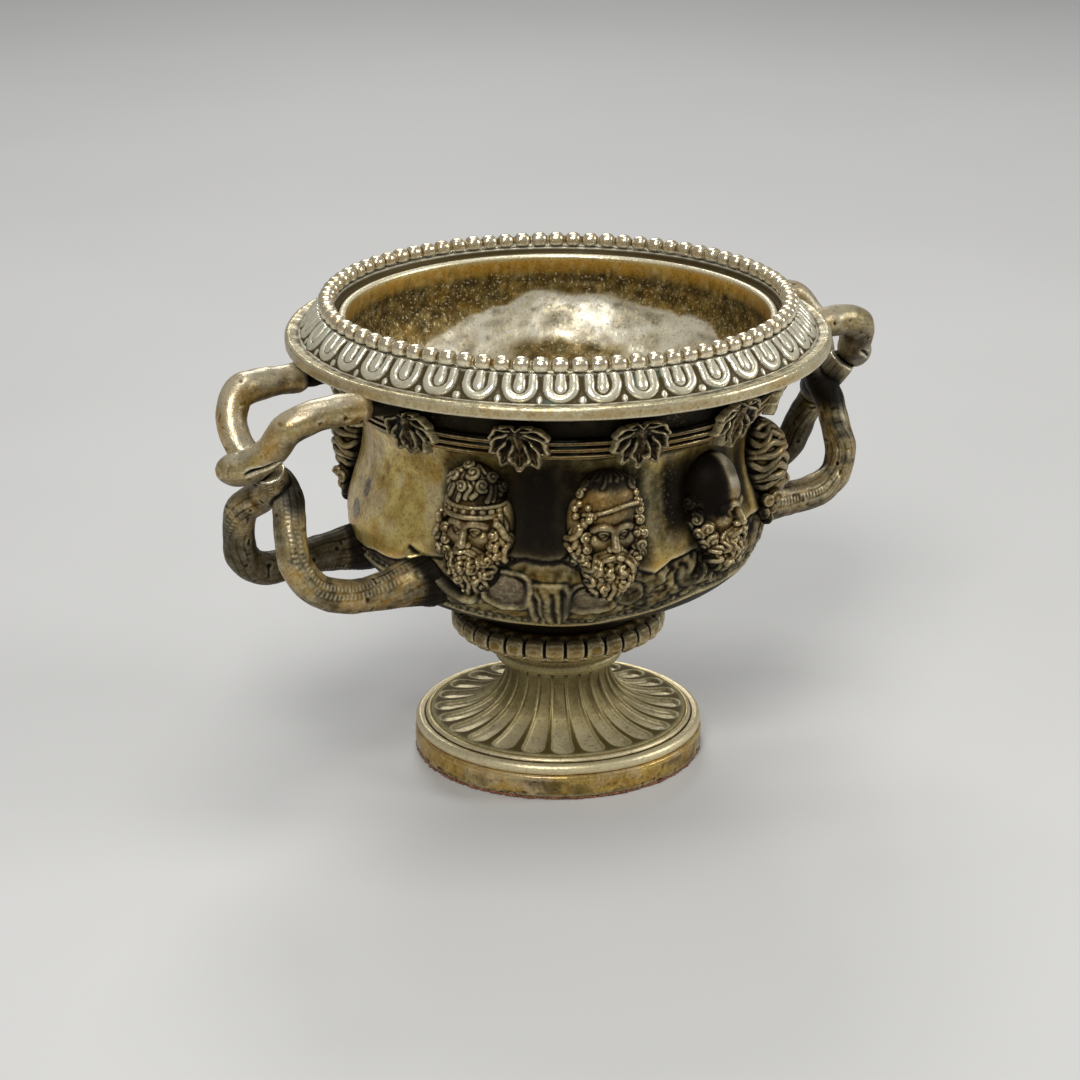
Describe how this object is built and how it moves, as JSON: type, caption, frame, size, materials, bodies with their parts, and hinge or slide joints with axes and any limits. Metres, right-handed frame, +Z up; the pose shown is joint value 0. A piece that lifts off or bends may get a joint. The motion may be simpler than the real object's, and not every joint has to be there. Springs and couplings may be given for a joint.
{
  "type": "two-handled krater vase",
  "caption": "Two-handled krater vase in cast brass with a beaded egg-moulded rim, twisted vine handles, applied masks, gadrooned collar, fluted foot and round plinth.",
  "frame": {"origin": "centre of the underside, on the floor", "axes": "+X through the right handle, +Z up the axis of the bowl, -Y towards the viewer's face of the bowl"},
  "size_m": [0.198, 0.14, 0.1254],
  "materials": {
    "felt": "matt wool felt",
    "golden_brass": "cast, brown patina, rubbed golden",
    "pale_brass": "cast, pale and worn on the high places",
    "olive_brass": "cast, olive-brown patina",
    "dark_brass": "cast, dark brown patina",
    "mask_brass": "cast, dark in the hollows, rubbed on the high places",
    "vine_brass": "cast with a bark grain, worn bright along the top",
    "steel": "plain"
  },
  "bodies": {
    "root": {"felt_pad": "felt", "plinth": "golden_brass", "clamp_plate": "steel", "clamp_nut": "steel", "tie_rod": "steel", "foot": "pale_brass", "collar": "golden_brass", "bowl": "olive_brass", "rim_ring": "pale_brass", "bead_ring": "pale_brass", "girdle": "dark_brass", "leaf_clasp_1": "dark_brass", "leaf_clasp_2": "dark_brass", "leaf_clasp_3": "dark_brass", "leaf_clasp_4": "dark_brass", "leaf_clasp_5": "dark_brass", "leaf_clasp_6": "dark_brass", "leaf_clasp_7": "dark_brass", "leaf_clasp_8": "dark_brass", "leaf_clasp_9": "dark_brass", "leaf_clasp_10": "dark_brass", "leaf_clasp_11": "dark_brass", "leaf_clasp_12": "dark_brass", "mask_1": "mask_brass", "mask_2": "mask_brass", "mask_3": "mask_brass", "mask_4": "mask_brass", "mask_5": "mask_brass", "mask_6": "mask_brass", "mask_7": "mask_brass", "mask_8": "mask_brass", "handle_right": "vine_brass", "handle_left": "vine_brass"}
  },
  "joints": []
}
